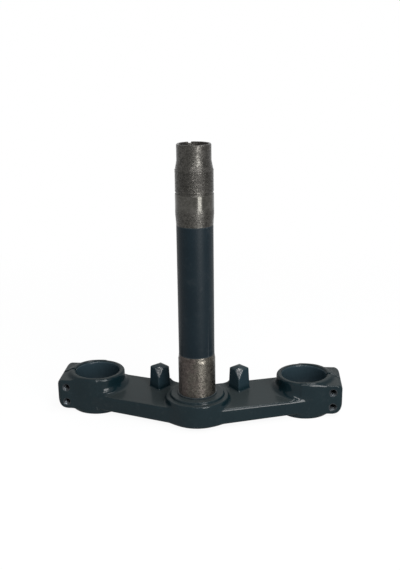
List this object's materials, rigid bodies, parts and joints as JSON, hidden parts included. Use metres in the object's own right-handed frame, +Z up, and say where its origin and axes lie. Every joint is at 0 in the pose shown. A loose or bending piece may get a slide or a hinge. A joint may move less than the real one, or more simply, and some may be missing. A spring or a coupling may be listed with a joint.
{
  "type": "lower triple clamp",
  "caption": "Motorcycle lower triple clamp in black paint: split fork clamps, steering stops and a pressed-in hollow steering stem with bare bearing seats and thread.",
  "frame": {"origin": "on the steering axis, in the plane where the lower bearing rests on the stem's shoulder", "axes": "+Z up the steering stem, the fork clamps on +X and -X, +Y towards the front of the motorcycle"},
  "size_m": [0.2384, 0.077, 0.2278],
  "materials": {
    "black_paint": "semi-gloss black paint",
    "bare_steel": "turned bare steel, pitted and lightly rusted, its middle painted black"
  },
  "bodies": {
    "root": {"lower_yoke": "black_paint", "steering_stem": "bare_steel"}
  },
  "joints": []
}
